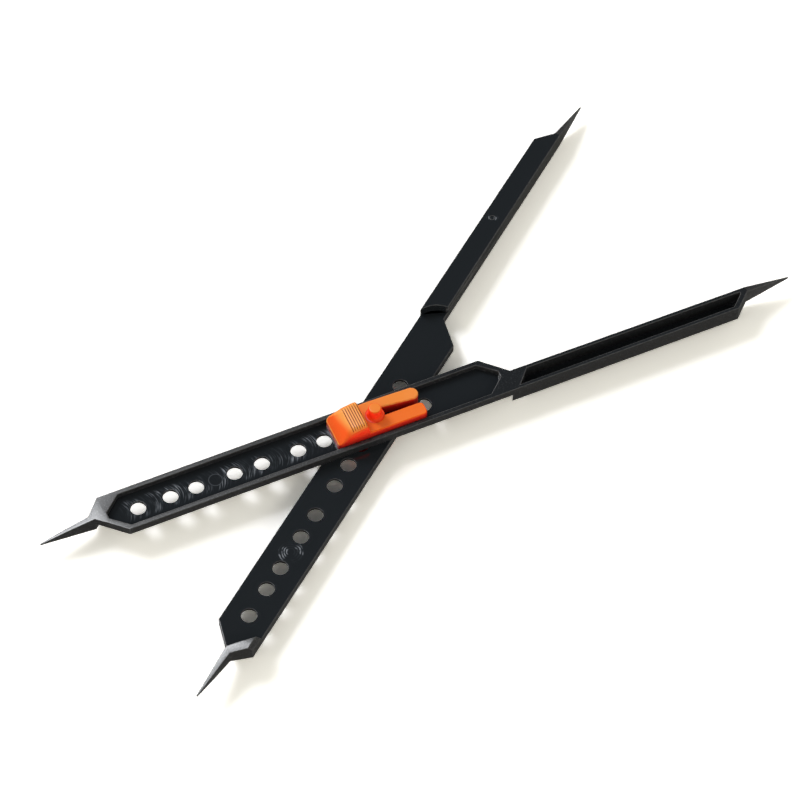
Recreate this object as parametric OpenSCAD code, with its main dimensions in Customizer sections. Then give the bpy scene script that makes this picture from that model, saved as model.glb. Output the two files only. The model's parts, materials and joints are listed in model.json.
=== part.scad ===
// Proportional divider: two equal arms crossed on a pin that sits in one of a row of ratio holes.
// Frame: millimetres, +Z up, +X along the bisector toward the narrow tips, origin under the middle.

/* [Arms] */
// Length of each arm from tip to tip
arm_l = 254; // [230:1:300]
// Width of an arm over its channel
arm_w = 14.8; // [14:0.1:16]
// Height from the mating face to the rim, and of the thick narrow half below that face
layer_h = 3; // [2.6:0.1:3.6]
// Angle between the arms at rest, in degrees
open_angle = 37.8; // [20:0.1:70]
// Place of the pin in the list of ratios, counted from zero
ratio_index = 8; // [4:1:9]

/* [Holes and channel] */
// Diameter of the ratio holes
hole_d = 4.9; // [4.6:0.1:5.6]
// Thickness of the channel's floor
floor_h = 1.1; // [0.8:0.1:1.5]
// Thickness of the channel's side walls
wall = 1.5; // [1.2:0.1:1.8]
// Distance from the wide tip to the channel's point
channel_start = 22; // [21.5:0.1:23]
// Length of the channel's pointed ends
point_run = 5.4; // [5:0.1:6]
// Half width of the flat at a channel point
point_half = 1.1; // [0.8:0.1:1.5]

/* [Wide end] */
// Distance from the wide tip to the nose on the centre plane
nose_u = 18.4; // [17.8:0.1:19]
// Length of the nose chamfer along the arm
nose_run = 7.9; // [7.5:0.1:8.5]
// Distance from the wide tip to the outer corner, where the wedge starts
corner_u = 21.1; // [20.5:0.1:21.4]
// Distance from the wide tip to the root of the spike
root_u = 16.4; // [15.5:0.1:17]
// Distance of the spike's root from the centre plane
root_v = 2.3; // [2:0.1:2.8]
// Distance of the spike's upper inner edge from the centre plane at its root
nose_in = 0.5; // [0.3:0.05:0.8]
// Distance from the wide tip to the bend in the spike's upper slope
bend_u = 8; // [6:0.1:10]
// Height of that bend above the mating face
bend_z = 1.4; // [1.2:0.05:1.6]
// Width and height of the blunt end of a tip
tip_size = 0.5; // [0.4:0.05:0.8]
// Depth of a tip below the mating face
tip_drop = 0.3; // [0:0.1:0.6]
// Height of the bevel on the block under the wide end
block_bevel = 1.6; // [1:0.1:2]
// Width of the bevel on the block under the wide end
block_inset = 1; // [0.6:0.1:1.4]

/* [Narrow half] */
// Distance from the arm's middle to the end of its wide half, on the centre plane
far_off = 29.4; // [29:0.1:31]
// Length of the chamfer at the end of the wide half
far_run = 7.6; // [7:0.1:8.2]
// Distance from the arm's middle to the step on the mating side
step_off = 26.9; // [26.5:0.1:28]
// Length of the slanted step
step_run = 5.3; // [5:0.1:5.8]
// Distance from the narrow tip back to the end chamfer
end_back = 21; // [20:0.1:22]
// Length of the end chamfer
end_run = 5.3; // [5:0.1:5.8]
// Width of the narrow tip at its root
end_root = 2.5; // [2.2:0.1:3]
// Distance of the narrow tip from the centre plane
end_in = 0.6; // [0.4:0.05:0.9]
// Distance along the arm from the step to the narrow pocket
pocket_end = 3.4; // [3:0.1:5]
// Slant of the pocket's inner end along the arm
pocket_slant = 4.4; // [4:0.1:5]
// Thickness of the walls and the floor of the narrow pocket
pocket_wall = 1.2; // [1:0.1:1.4]

/* [Slide] */
// Distance from the pin to the nose of the slide
slide_nose = 14.3; // [13.6:0.1:15]
// Distance from the pin to the end of the rail
slide_tail = 15.6; // [15.2:0.1:17]
// Height of the slide's base above the rim
base_rise = 2; // [1.6:0.1:2.6]
// Height of the hump above the base
hump_rise = 4; // [3.5:0.1:4.6]
// Distance from the pin to the hump's tall end
hump_near = 3.7; // [3.5:0.1:4]
// Length of the ribbed top of the hump
hump_l = 6.2; // [5.8:0.1:6.6]
// Fall of the hump's top toward the nose
hump_fall = 1; // [0.6:0.1:1.4]
// Distance between ribs
rib_pitch = 1; // [0.9:0.05:1.1]
// Width of the groove between ribs
rib_gap = 0.45; // [0.3:0.05:0.6]
// Depth of the groove between ribs
rib_depth = 0.35; // [0.2:0.05:0.5]
// Length of the hump's steep end
hump_drop = 1; // [0.6:0.1:1.4]
// Height above the rim where the nose starts to slope
nose_lip = 0.4; // [0.2:0.1:0.8]
// Height above the rim where the sides start to lean in
side_lip = 0.8; // [0.4:0.1:1.2]
// Lean of the slide's sides at the top of the hump
side_lean = 1.15; // [0.8:0.05:1.5]
// Width of the fixed rail
rail_w = 4.8; // [4.4:0.05:5]
// Radius of the spring finger's round end
finger_r = 2.2; // [1.8:0.1:2.3]
// Distance from the pin to the centre of the finger's round end
finger_u = 13.6; // [12:0.1:14]
// Distance of the finger's end from the centre plane
finger_v = 2.8; // [2.6:0.1:3]
// Width of the slot where it meets the pin's bore
slot_w = 3.3; // [3:0.1:3.6]
// Half length of the retainer plate under the pivot
plate_half = 13; // [11:0.1:15]

/* [Pivot pin] */
// Radius of the post above the slide
post_r = 2.1; // [1.8:0.05:2.3]
// Width of the foot around the post
foot_w = 0.95; // [0.9:0.05:1.1]
// Height of the foot's flare
foot_h = 1.1; // [0.8:0.1:1.5]
// Thickness of the foot's edge
foot_lip = 0.25; // [0.15:0.05:0.4]
// Bevel of the post's top edge
post_round = 0.6; // [0.3:0.05:0.8]
// Width of the slit in the pin's snap end
slit_w = 0.8; // [0.5:0.1:1]

/* [Clearances] */
// Gap between faces that meet when the arms close
mate_gap = 0.3; // [0.2:0.05:0.5]
// Gap along the arm between the nose and the block of the other arm
nose_gap = 0.4; // [0.3:0.05:0.6]
// Radial clearance of the pin in every hole
pin_gap = 0.08; // [0.04:0.01:0.1]
// Gap between the slides and the channel walls
slide_gap = 0.1; // [0.05:0.05:0.25]
// Gap under the pin's foot, between the arms, and over the hidden ends
rest_gap = 0.1; // [0.05:0.01:0.2]

/* [Hidden] */
black = [0.03, 0.03, 0.035];
orange = [0.93, 0.34, 0.06];
ratios = [7, 5, 4, 3, 2.5, 2, 1.72, 1.5, 1.3, 1];
rib_grooves = 5;
plate_grooves = 3;
round_fn = 72;
over = 1;

half_w = arm_w / 2;
channel_half = half_w - wall;
mate = mate_gap / 2;
pin_u = arm_l / (1 + ratios[ratio_index]);
pin_r = hole_d / 2 - pin_gap;
far_u = arm_l / 2 + far_off;
step_u = arm_l / 2 + step_off;
end_u = arm_l - end_back;
channel_end = far_u - (channel_start - nose_u);
tip_low = -tip_drop - tip_size / 2;
tip_high = -tip_drop + tip_size / 2;
lean = open_angle / 2;
mate_z = layer_h + rest_gap / 2;
pivot_x = ((2 * pin_u - arm_l) * cos(lean) + (end_in - mate) * sin(lean)) / 2;

slide_half = channel_half - slide_gap;
base_top = layer_h + base_rise;
hump_top = base_top + hump_rise;
hump_far = hump_near + hump_l;
rail_v = rail_w - slide_half;
rib_u = -hump_far + rib_pitch - rib_gap;
rib_rise = hump_fall / (hump_l - hump_drop);
plate_top = layer_h - 2 * rest_gap;

// Value at x of the straight line through two points
function along(p, q, x) = p[1] + (q[1] - p[1]) * (x - p[0]) / (q[0] - p[0]);

// Outline of the layer between the mating face and the rim
module rim_outline() {
    polygon([
        [0, mate],
        [nose_u - nose_in * nose_run / half_w, nose_in],
        [nose_u + nose_run, -half_w],
        [end_u, -half_w],
        [end_u + end_run, -end_root],
        [arm_l, -end_in - tip_size],
        [arm_l, -end_in],
        [end_u + end_run, -end_in],
        [far_u, -mate],
        [far_u - far_run, half_w],
        [corner_u, half_w],
        [root_u, root_v],
        [0, mate + tip_size]
    ]);
}

// Block under the wide end, which the other arm's nose closes against
module block_outline() {
    polygon([
        [0, mate],
        [nose_u - nose_gap, mate],
        [nose_u + nose_run - nose_gap, half_w],
        [corner_u, half_w],
        [root_u, root_v],
        [0, mate + tip_size]
    ]);
}

// Narrow half below the mating face
module narrow_outline() {
    polygon([
        [step_u, -half_w],
        [end_u, -half_w],
        [end_u + end_run, -end_root],
        [arm_l, -end_in - tip_size],
        [arm_l, -end_in],
        [end_u + end_run, -end_in],
        [step_u + step_run, along([far_u, -mate], [end_u + end_run, -end_in], step_u + step_run)]
    ]);
}

// Side view of the arm, which thins to a wedge at both tips
module wedge_profile() {
    polygon([
        [0, tip_low],
        [0, tip_high],
        [bend_u, bend_z],
        [corner_u, layer_h],
        [end_u + end_run, layer_h],
        [arm_l, tip_high],
        [arm_l, tip_low],
        [end_u + end_run, -layer_h],
        [corner_u, -layer_h]
    ]);
}

// Channel for the slide, pointed at both ends
module channel_outline() {
    polygon([
        [channel_start, point_half],
        [channel_start, -point_half],
        [channel_start + point_run, -channel_half],
        [channel_end - point_run, -channel_half],
        [channel_end, -point_half],
        [channel_end, point_half],
        [channel_end - point_run, channel_half],
        [channel_start + point_run, channel_half]
    ]);
}

// Deep pocket that cores out the narrow half, its ends parallel to the step and the end chamfer
module pocket_outline() {
    low = half_w - pocket_wall;
    high = mate + pocket_wall;
    polygon([
        [step_u + pocket_end, -low],
        [end_u - pocket_wall, -low],
        [end_u + end_run - 2 * pocket_wall, -end_root],
        [end_u + end_run - 2 * pocket_wall, -end_in - pocket_wall],
        [step_u + pocket_end + pocket_slant, -high]
    ]);
}

// Sloped cut along the outer lower edge of the block
module block_bevel_cut() {
    reach = nose_u + nose_run;
    multmatrix([[0, 0, 1, 0], [1, 0, 0, 0], [0, 1, 0, 0], [0, 0, 0, 1]])
        linear_extrude(reach)
            polygon([
                [half_w + over, -layer_h + block_bevel],
                [half_w, -layer_h + block_bevel],
                [half_w - block_inset, -layer_h],
                [half_w - block_inset, -layer_h - over],
                [half_w + over, -layer_h - over]
            ]);
}

// One arm: mating face at z = 0, rim up, wide tip at x = 0
module arm() {
    difference() {
        intersection() {
            union() {
                linear_extrude(layer_h) rim_outline();
                translate([0, 0, -layer_h]) linear_extrude(layer_h) block_outline();
                translate([0, 0, -layer_h]) linear_extrude(layer_h) narrow_outline();
            }
            translate([0, arm_w, 0]) rotate([90, 0, 0]) linear_extrude(2 * arm_w) wedge_profile();
        }
        translate([0, 0, floor_h]) linear_extrude(layer_h) channel_outline();
        translate([0, 0, pocket_wall - layer_h]) linear_extrude(2 * layer_h) pocket_outline();
        block_bevel_cut();
        for (r = ratios)
            translate([arm_l / (1 + r), 0, -over])
                cylinder(d = hole_d, h = floor_h + 2 * over, $fn = round_fn);
    }
}

// Side view of the slide, from the nose over the hump to the rail's end
module slide_profile() {
    lip = [-slide_nose, layer_h + nose_lip];
    brow = [-hump_far, hump_top - hump_fall];
    polygon([
        [lip[0] - over, 0],
        [lip[0] - over, along(lip, brow, lip[0] - over)],
        brow,
        [-hump_near - hump_drop, hump_top],
        [-hump_near, base_top],
        [slide_tail + over, base_top],
        [slide_tail + over, 0]
    ]);
}

// End view of the slide, its sides leaning in above the rim
module slide_section() {
    lip = [layer_h + side_lip, slide_half];
    top = [hump_top + over, along(lip, [hump_top, slide_half - side_lean], hump_top + over)];
    foot = along(lip, top, 0);
    polygon([[-foot, 0], [foot, 0], [top[1], top[0]], [-top[1], top[0]]]);
}

// Plan of the slide: body, fixed rail and spring finger with a round end
module slide_plan() {
    polygon(concat(
        [
            [-slide_nose, slide_half],
            [-slide_nose, -slide_half],
            [slide_tail, -slide_half],
            [slide_tail, rail_v],
            [0, rail_v],
            [0, rail_v + slot_w]
        ],
        [for (a = [-90 : 15 : 90]) [finger_u + finger_r * cos(a), finger_v + finger_r * sin(a)]],
        [[0, slide_half]]
    ));
}

// Slide in the pin's frame: pin at x = y = 0, mating face at z = 0
module slide() {
    difference() {
        intersection() {
            translate([0, 0, floor_h]) linear_extrude(hump_top) slide_plan();
            translate([0, arm_w, 0]) rotate([90, 0, 0]) linear_extrude(2 * arm_w) slide_profile();
            multmatrix([[0, 0, 1, -2 * slide_nose], [1, 0, 0, 0], [0, 1, 0, 0], [0, 0, 0, 1]])
                linear_extrude(2 * (slide_nose + slide_tail)) slide_section();
        }
        cylinder(r = pin_r + pin_gap, h = hump_top, $fn = round_fn);
        for (i = [0 : rib_grooves - 1])
            translate([
                rib_u + i * rib_pitch,
                -half_w,
                hump_top - hump_fall + (rib_u + i * rib_pitch + hump_far) * rib_rise - rib_depth
            ])
                cube([rib_gap, arm_w, hump_rise]);
    }
}

// Plate that closes the pin's hole under the lower arm, in that arm's own frame
module plate() {
    difference() {
        translate([0, 0, floor_h])
            linear_extrude(plate_top - floor_h)
                polygon([
                    [-plate_half, -point_half],
                    [-plate_half + point_run, -slide_half],
                    [plate_half - point_run, -slide_half],
                    [plate_half, -point_half],
                    [plate_half, point_half],
                    [plate_half - point_run, slide_half],
                    [-plate_half + point_run, slide_half],
                    [-plate_half, point_half]
                ]);
        cylinder(r = pin_r + pin_gap, h = layer_h, $fn = round_fn);
        for (i = [0 : plate_grooves - 1])
            translate([-plate_half + point_run + i * rib_pitch, -half_w, plate_top - rib_depth])
                cube([rib_gap, arm_w, layer_h]);
    }
}

// Pin: post, flared foot and a slit shank down to the plate
module pin() {
    foot_z = base_top + rest_gap;
    low_z = -plate_top + rest_gap;
    difference() {
        rotate_extrude($fn = round_fn)
            polygon([
                [0, low_z],
                [pin_r - tip_size, low_z],
                [pin_r, low_z + tip_size],
                [pin_r, foot_z],
                [post_r + foot_w, foot_z],
                [post_r + foot_w, foot_z + foot_lip],
                [post_r, foot_z + foot_h],
                [post_r, hump_top - post_round],
                [post_r - post_round, hump_top],
                [0, hump_top]
            ]);
        translate([-slit_w / 2, -half_w, low_z - over]) cube([slit_w, arm_w, over - low_z]);
    }
}

module in_upper() {
    translate([pivot_x, 0, mate_z]) rotate(-lean) translate([0, 0, rest_gap / 2]) children();
}

module in_lower() {
    translate([pivot_x, 0, mate_z]) rotate(lean) rotate([180, 0, 0]) translate([0, 0, rest_gap / 2]) children();
}

module upper_arm() {
    color(black) in_upper() translate([-pin_u, 0, 0]) arm();
}

module lower_arm() {
    color(black) in_lower() translate([-pin_u, 0, 0]) arm();
}

module upper_slide() {
    color(orange) in_upper() slide();
}

module pivot_pin() {
    color(orange) in_upper() pin();
}

module lower_slide() {
    color(orange) in_lower() plate();
}

upper_arm();
lower_arm();
upper_slide();
pivot_pin();
lower_slide();
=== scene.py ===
"""Dressed model of a proportional divider: bevelled mouldings, their plastics and a white studio."""
import json
import math

import bmesh
import bpy
from bpy.props import FloatProperty, FloatVectorProperty, IntProperty, PointerProperty
from mathutils import Matrix, Vector


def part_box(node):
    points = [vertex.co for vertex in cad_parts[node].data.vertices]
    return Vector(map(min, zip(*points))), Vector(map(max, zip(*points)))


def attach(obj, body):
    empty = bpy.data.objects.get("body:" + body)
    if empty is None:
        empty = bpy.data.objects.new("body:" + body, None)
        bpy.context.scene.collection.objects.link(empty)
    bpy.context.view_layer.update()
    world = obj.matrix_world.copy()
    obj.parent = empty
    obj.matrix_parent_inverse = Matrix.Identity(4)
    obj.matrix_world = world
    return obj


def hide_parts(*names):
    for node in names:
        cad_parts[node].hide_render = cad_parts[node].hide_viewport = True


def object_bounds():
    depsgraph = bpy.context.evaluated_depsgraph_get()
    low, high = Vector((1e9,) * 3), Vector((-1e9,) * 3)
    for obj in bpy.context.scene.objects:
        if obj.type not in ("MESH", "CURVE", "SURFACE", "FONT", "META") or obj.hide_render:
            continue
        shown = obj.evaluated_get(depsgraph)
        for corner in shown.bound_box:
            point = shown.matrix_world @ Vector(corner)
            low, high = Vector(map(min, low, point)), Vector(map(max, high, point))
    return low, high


bl_info = {
    "name": "Proportional divider",
    "version": (1, 0, 0),
    "blender": (4, 5, 0),
    "location": "3D View > Sidebar > Divider",
    "description": "Dresses the arms, slides and pin of a proportional divider and lights them",
    "category": "Object",
}

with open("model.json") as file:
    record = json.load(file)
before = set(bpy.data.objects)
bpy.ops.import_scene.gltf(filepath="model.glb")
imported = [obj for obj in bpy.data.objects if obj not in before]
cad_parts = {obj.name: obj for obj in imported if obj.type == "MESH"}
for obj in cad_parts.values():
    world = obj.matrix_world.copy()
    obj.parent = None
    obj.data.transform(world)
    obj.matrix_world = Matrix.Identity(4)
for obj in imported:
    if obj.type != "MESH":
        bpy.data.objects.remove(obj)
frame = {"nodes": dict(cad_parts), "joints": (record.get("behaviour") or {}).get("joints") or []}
CAD_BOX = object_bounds()

# Units and the hinge that both arms turn on
MM = 0.001
HINGE = next(joint for joint in frame["joints"] if joint["type"] == "hinge")
PIVOT = Vector(HINGE["pos_m"])
# Half of the angle between the arms, which close at the hinge's upper limit
LEAN = math.radians(HINGE["range_deg"][1] / 2)

# Names of the mesh attributes that the plastics read
PLACE = "place"
EDGE = "edge"
ZONE = "zone"

# Zones of the arms: finish of a face
POLISHED = 0.0
GRAINED = 1.0
RIM = 2.0

# Zones of the slides and the pin: these, or the steepness of a face from 0 to 1, by which shade is painted
GROOVE_SHADE = 2.0
PIN_FOOT_SHADE = 0.55
# Paler tops of the finger, the rail and the post
PALE_FINGER_TOP = -0.44
PALE_RAIL_TOP = -0.25
PALE_POST_TOP = -0.4


def arm_frame(arm):
    """Frame of an arm: pivot at the origin, x toward the narrow tip, z from the mating face to the rim."""
    if arm == "upper":
        return Matrix.Translation(PIVOT) @ Matrix.Rotation(-LEAN, 4, "Z")
    turned_over = Matrix.Rotation(math.pi, 4, "X")
    return Matrix.Translation(PIVOT) @ Matrix.Rotation(LEAN, 4, "Z") @ turned_over


class DividerArms(bpy.types.PropertyGroup):
    """Sizes and colours of the two black arms."""

    polished: FloatVectorProperty(
        name="Polished faces", description="Colour of the channel floor and the mating face",
        subtype="COLOR", size=3, min=0, max=1, default=(0.0125, 0.0152, 0.0185))
    grained: FloatVectorProperty(
        name="Grained faces", description="Colour of the rims, the walls and the tips",
        subtype="COLOR", size=3, min=0, max=1, default=(0.0150, 0.0158, 0.0178))
    # Partly wear, partly painted highlight on the rounded edges and painted glint of the grain
    wear_and_glint: FloatVectorProperty(
        name="Worn edges", description="Colour of the rubbed edges and of the grain's sparkle",
        subtype="COLOR", size=3, min=0, max=1, default=(0.112, 0.116, 0.125))
    scuffed: FloatVectorProperty(
        name="Scuffs", description="Colour of the scratches on the polished faces",
        subtype="COLOR", size=3, min=0, max=1, default=(0.138, 0.155, 0.184))
    # Painted falloff of light: the rims lose grain and painted glint beyond the last hole
    far_rims: FloatProperty(
        name="Far rims", description="Share of grain on the rims beyond the last hole",
        min=0, max=1, default=0.35)
    length: FloatProperty(
        name="Arm length", description="Length of each arm from tip to tip",
        unit="LENGTH", min=0, default=254 * MM)
    edge_radius: FloatProperty(
        name="Edge radius", description="Rounding of the outer edges",
        unit="LENGTH", min=0, default=0.22 * MM)
    hole_radius: FloatProperty(
        name="Hole edge radius", description="Rounding of the edges of the ratio holes",
        unit="LENGTH", min=0, default=0.08 * MM)
    gate_place: FloatVectorProperty(
        name="Gate mark", description="Place of the gate ring from the wide tip and from the centre plane",
        unit="LENGTH", size=2, default=(197.5 * MM, -4.3 * MM))
    gate_size: FloatProperty(
        name="Gate ring radius", description="Radius of the raised ring round the gate",
        unit="LENGTH", min=0, default=0.85 * MM)
    gate_bead: FloatProperty(
        name="Gate bead", description="Thickness of the raised ring round the gate",
        unit="LENGTH", min=0, default=0.09 * MM)
    gate_blush: FloatProperty(
        name="Gate blush radius", description="Radius of the flow mark round the gate",
        unit="LENGTH", min=0, default=2.0 * MM)
    blush_place: FloatProperty(
        name="Blush", description="Distance from the wide tip to the round flow mark",
        unit="LENGTH", min=0, default=57.15 * MM)
    blush_size: FloatProperty(
        name="Blush radius", description="Radius of the round flow mark",
        unit="LENGTH", min=0, default=4.4 * MM)
    pocket_cut: FloatProperty(
        name="Pocket middle", description="Place along the arm in the middle of the narrow pocket",
        unit="LENGTH", min=0, default=200 * MM)
    step_place: FloatProperty(
        name="Step", description="Place along the arm of the wall where the narrow half starts",
        unit="LENGTH", min=0, default=156.5 * MM)
    step_hollow: FloatProperty(
        name="Hollow of the step", description="How far the step's wall bows in at its middle",
        unit="LENGTH", min=0, default=1.3 * MM)


class DividerSlides(bpy.types.PropertyGroup):
    """Sizes and colours of the orange slides and the pin."""

    top: FloatVectorProperty(
        name="Top colour", description="Orange of the faces that look up",
        subtype="COLOR", size=3, min=0, max=1, default=(0.85, 0.108, 0.006))
    # Painted shade: steep faces blend from the top orange to this deeper orange
    wall: FloatVectorProperty(
        name="Wall colour", description="Deeper orange of the steep faces",
        subtype="COLOR", size=3, min=0, max=1, default=(0.98, 0.042, 0.012))
    # Partly wear, partly painted highlight on the rounded edges and painted sheen over the grip
    rubbed: FloatVectorProperty(
        name="Rubbed colour", description="Paler orange of the rounded edges and of what fingers rub",
        subtype="COLOR", size=3, min=0, max=1, default=(0.87, 0.48, 0.11))
    # Painted shade: walls darken to this red lower down
    foot: FloatVectorProperty(
        name="Foot colour", description="Dark red of the walls low down",
        subtype="COLOR", size=3, min=0, max=1, default=(0.35, 0.008, 0.007))
    # Painted shade in the grooves
    groove: FloatVectorProperty(
        name="Groove colour", description="Brown of the grooves across the hump",
        subtype="COLOR", size=3, min=0, max=1, default=(0.48, 0.074, 0.016))
    half_width: FloatProperty(
        name="Half width", description="Half of the slide's width in the channel",
        unit="LENGTH", min=0, default=5.8 * MM)
    floor_level: FloatProperty(
        name="Underside", description="Height of the slide's underside above the pivot plane",
        unit="LENGTH", min=0, default=1.15 * MM)
    lip: FloatProperty(
        name="Lip", description="Height of the nose's lower edge above the pivot plane",
        unit="LENGTH", min=0, default=3.45 * MM)
    base_top: FloatProperty(
        name="Base top", description="Height of the rail's top above the pivot plane",
        unit="LENGTH", min=0, default=5.05 * MM)
    hump_top: FloatProperty(
        name="Hump top", description="Height of the thumb hump above the pivot plane",
        unit="LENGTH", min=0, default=9.05 * MM)
    nose: FloatProperty(
        name="Nose", description="Distance from the pin to the nose",
        unit="LENGTH", min=0, default=14.3 * MM)
    tail: FloatProperty(
        name="Tail", description="Distance from the pin to the rail's end",
        unit="LENGTH", min=0, default=15.6 * MM)
    brow: FloatVectorProperty(
        name="Brow", description="Place of the hump's brow from the pin, and its height",
        unit="LENGTH", size=2, default=(-9.9 * MM, 8.05 * MM))
    nose_slope: FloatProperty(
        name="Nose slope", description="Rise of the nose from the lip to the brow, for each unit along",
        min=0, default=1.0455)
    hump_rounds: FloatVectorProperty(
        name="Hump rounding", description="Rounding of the brow, of the hump's steep end and of its foot",
        unit="LENGTH", size=3, min=0, default=(6.0 * MM, 0.7 * MM, 0.6 * MM))
    # Painted sheen: how far down the nose the grip is painted paler
    brow_sheen: FloatProperty(
        name="Rubbed brow", description="How far down the nose the pale rubbed surface of the grip goes",
        unit="LENGTH", min=0, default=2.6 * MM)
    hump_end: FloatProperty(
        name="Hump end", description="Distance from the pin to the foot of the hump's steep end",
        unit="LENGTH", min=0, default=3.7 * MM)
    hump_drop: FloatProperty(
        name="Hump drop", description="Length of the hump's steep end along the slide",
        unit="LENGTH", min=0, default=0.7 * MM)
    side_lean: FloatProperty(
        name="Side lean", description="How far each side leans in at the hump's top",
        unit="LENGTH", min=0, default=0.5 * MM)
    rail_width: FloatProperty(
        name="Rail width", description="Width of the fixed rail",
        unit="LENGTH", min=0, default=4.8 * MM)
    slot_width: FloatProperty(
        name="Slot width", description="Width of the slot beside the pin",
        unit="LENGTH", min=0, default=3.3 * MM)
    finger_place: FloatVectorProperty(
        name="Finger end", description="Centre of the finger's round end from the pin",
        unit="LENGTH", size=2, default=(13.55 * MM, 3.1 * MM))
    finger_radius: FloatProperty(
        name="Finger radius", description="Radius of the finger's round end",
        unit="LENGTH", min=0, default=2.25 * MM)
    bore_radius: FloatProperty(
        name="Bore radius", description="Radius of the pin's bore",
        unit="LENGTH", min=0, default=2.6 * MM)
    corner_radius: FloatProperty(
        name="Corner radius", description="Rounding of the slide's corners in plan",
        unit="LENGTH", min=0, default=1.4 * MM)
    edge_radius: FloatProperty(
        name="Edge radius", description="Rounding of the slide's upper edges",
        unit="LENGTH", min=0, default=2.2 * MM)
    slot_radius: FloatProperty(
        name="Rail edge radius", description="Rounding of the upper edges of the rail and the finger",
        unit="LENGTH", min=0, default=0.45 * MM)
    lip_radius: FloatProperty(
        name="Lip radius", description="Rounding of the nose's lower edge",
        unit="LENGTH", min=0, default=0.25 * MM)
    ribs: IntProperty(
        name="Grooves", description="Number of grooves across the hump",
        min=0, default=7)
    rib_start: FloatProperty(
        name="First groove", description="Place of the groove nearest to the nose, from the pin",
        unit="LENGTH", default=-9.2 * MM)
    rib_pitch: FloatProperty(
        name="Groove pitch", description="Distance from groove to groove",
        unit="LENGTH", min=0, default=0.75 * MM)
    rib_width: FloatProperty(
        name="Groove width", description="Width of a groove",
        unit="LENGTH", min=0, default=0.26 * MM)
    rib_depth: FloatProperty(
        name="Groove depth", description="Depth of a groove",
        unit="LENGTH", min=0, default=0.42 * MM)
    plate_radius: FloatProperty(
        name="Plate edge radius", description="Rounding of the retainer plate's edges",
        unit="LENGTH", min=0, default=0.13 * MM)
    shank_radius: FloatProperty(
        name="Shank radius", description="Radius of the pin below its foot",
        unit="LENGTH", min=0, default=2.37 * MM)
    shank_round: FloatProperty(
        name="Shank rounding", description="Rounding of the pin's lower end",
        unit="LENGTH", min=0, default=0.39 * MM)
    shank_height: FloatProperty(
        name="Shank height", description="Height of the foot's underside above the pivot plane",
        unit="LENGTH", min=0, default=5.15 * MM)
    slit: FloatProperty(
        name="Slit", description="Width of the slit in the pin's lower end",
        unit="LENGTH", min=0, default=0.8 * MM)
    foot_radius: FloatProperty(
        name="Foot radius", description="Radius of the pin's foot",
        unit="LENGTH", min=0, default=3.05 * MM)
    foot_edge: FloatProperty(
        name="Foot edge", description="Thickness of the foot's edge",
        unit="LENGTH", min=0, default=0.04 * MM)
    foot_height: FloatProperty(
        name="Foot height", description="Height of the hollow curve at the post's foot",
        unit="LENGTH", min=0, default=1.1 * MM)
    post_radius: FloatProperty(
        name="Post radius", description="Radius of the pin's post",
        unit="LENGTH", min=0, default=2.1 * MM)
    post_round: FloatProperty(
        name="Post rounding", description="Rounding of the post's top edge",
        unit="LENGTH", min=0, default=0.6 * MM)
    turns: IntProperty(
        name="Steps round the pin", description="Number of facets round the turned pin",
        min=24, default=96)


class DividerStage(bpy.types.PropertyGroup):
    """Camera, lights and floor."""

    azimuth: FloatProperty(
        name="Azimuth", description="Angle of the camera round the divider",
        subtype="ANGLE", default=math.radians(-43.166))
    elevation: FloatProperty(
        name="Elevation", description="Angle of the camera above the floor",
        subtype="ANGLE", default=math.radians(55.203))
    roll: FloatProperty(
        name="Roll", description="Turn of the camera about its own axis",
        subtype="ANGLE", default=math.radians(0.469))
    distance: FloatProperty(
        name="Distance", description="Distance from the camera to the point that it looks at",
        unit="LENGTH", min=0, default=1119.66 * MM)
    aim: FloatVectorProperty(
        name="Aim", description="Point that the camera looks at",
        subtype="TRANSLATION", size=3, default=(-2.195 * MM, 3.003 * MM, 0.0))
    lens: FloatProperty(
        name="Lens", description="Focal length in millimetres on a 36 mm wide sensor",
        min=1, default=161.265)
    floor_colour: FloatVectorProperty(
        name="Floor", description="Colour of the floor",
        subtype="COLOR", size=3, min=0, max=1, default=(0.93, 0.93, 0.93))
    floor_tilt: FloatVectorProperty(
        name="Floor tilt", description="Turn of the table about X and Y, as the divider leans on its pin",
        unit="ROTATION", size=2, default=(math.radians(0.95), math.radians(-0.33)))
    floor_drop: FloatProperty(
        name="Floor drop", description="Depth of the table below the middle of the divider",
        unit="LENGTH", min=0, default=1.5 * MM)
    floor_seen: FloatProperty(
        name="Floor for the camera", description="How many times as bright the camera sees the floor",
        min=1, default=1.68)
    floor_mirrored: FloatProperty(
        name="Floor in reflections", description="Share of the floor's colour that glossy faces mirror",
        min=0, max=1, default=0.34)
    fill: FloatVectorProperty(
        name="Fill", description="Colour of the light from all around",
        subtype="COLOR", size=3, min=0, max=2, default=(1.52, 1.457, 1.28))
    horizon: FloatProperty(
        name="Horizon", description="Share of the fill that comes from low down",
        min=0, max=1, default=0.4)
    card: FloatVectorProperty(
        name="Dark card", description="Colour of the dark card that the polished faces mirror",
        subtype="COLOR", size=3, min=0, max=1, default=(0.071, 0.078, 0.085))
    card_place: FloatVectorProperty(
        name="Card direction", description="Direction from the divider to the middle of the dark card",
        subtype="DIRECTION", size=3, default=(0.05, 0.055, 1.0))
    card_span: FloatVectorProperty(
        name="Card span", description="Angle to the card's even part and to its soft edge",
        unit="ROTATION", size=2, default=(math.radians(42), math.radians(55)))


def new_piece(mesh, name):
    """Links a new object with this mesh to the scene."""
    piece = bpy.data.objects.new(name, mesh)
    bpy.context.scene.collection.objects.link(piece)
    return piece


def baked(mesh, name, add_modifiers):
    """Mesh that the modifiers make of another one, which is used up."""
    raw = new_piece(mesh, name + "_raw")
    add_modifiers(raw.modifiers)
    seen = raw.evaluated_get(bpy.context.evaluated_depsgraph_get())
    result = bpy.data.meshes.new_from_object(seen)
    bpy.data.objects.remove(raw)
    bpy.data.meshes.remove(mesh)
    result.name = name
    return result


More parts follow.
